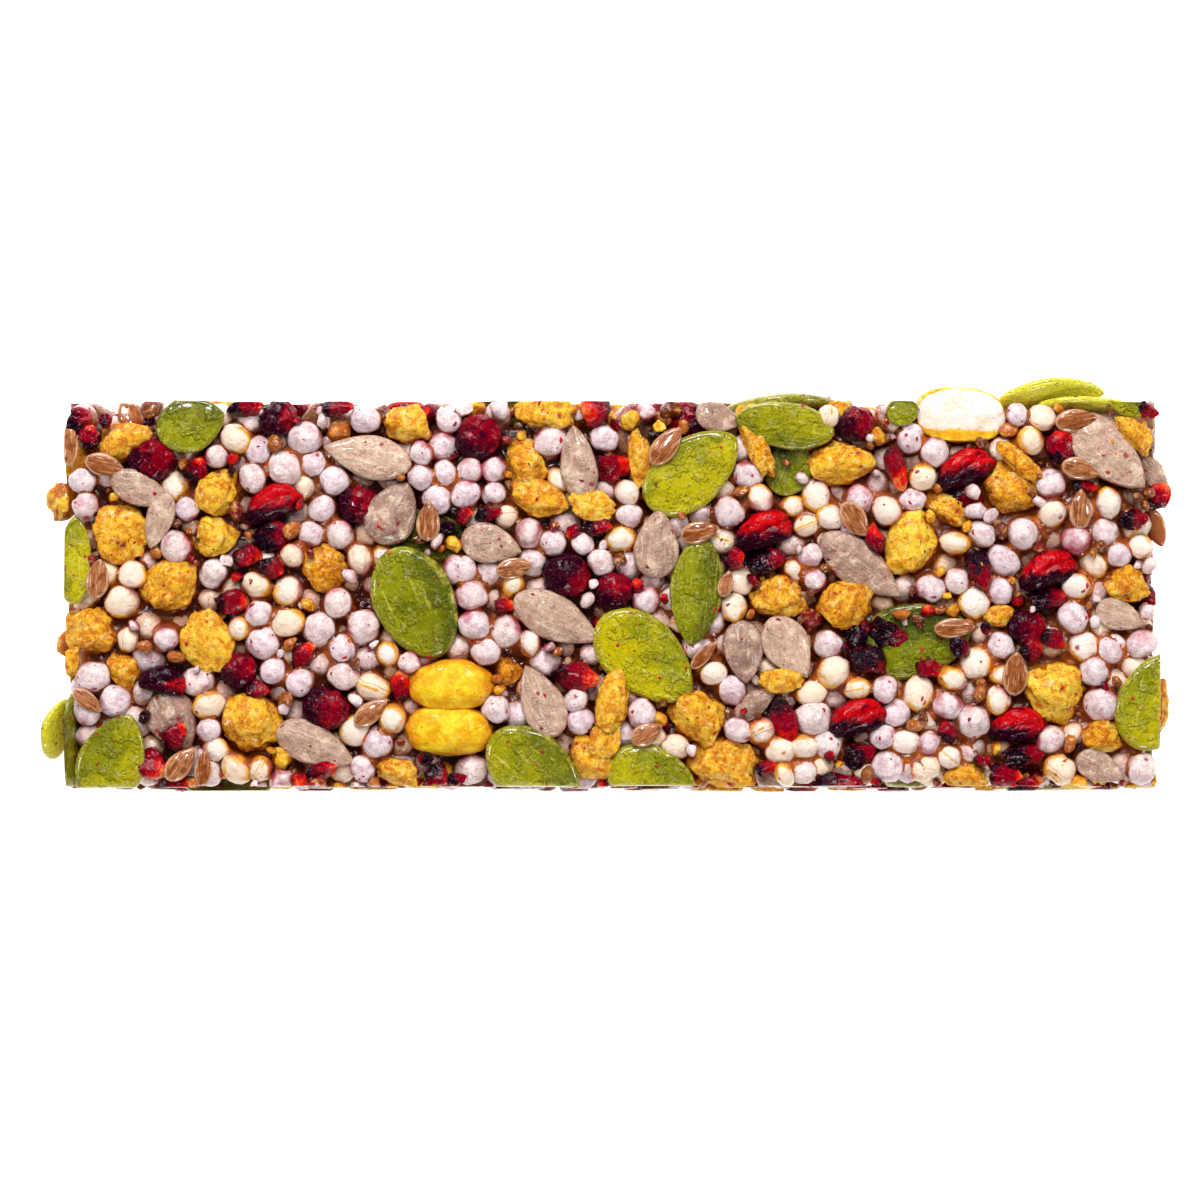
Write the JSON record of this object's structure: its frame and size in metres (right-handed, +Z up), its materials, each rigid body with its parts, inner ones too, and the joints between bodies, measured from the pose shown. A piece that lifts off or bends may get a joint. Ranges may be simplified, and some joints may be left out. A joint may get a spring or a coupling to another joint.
{
  "type": "seed bar",
  "caption": "Flat pressed bar of puffed grains, pumpkin and sunflower kernels, flax, corn and dried fruit in syrup, with cut sides.",
  "frame": {"origin": "on the flat underside, at the middle of the slab", "axes": "+X along the bar's length, +Y across it, +Z up through its thickness"},
  "size_m": [0.1195, 0.0439, 0.0124],
  "materials": {
    "seed_mix": "satin",
    "puffed_grain": "matte",
    "pumpkin_kernel": "satin",
    "sunflower_kernel": "satin",
    "flax_seed": "gloss",
    "dried_fruit": "satin",
    "berry": "gloss",
    "sweet_corn": "satin",
    "syrup": "gloss"
  },
  "bodies": {
    "root": {"seed_bar": "seed_mix"}
  },
  "joints": []
}
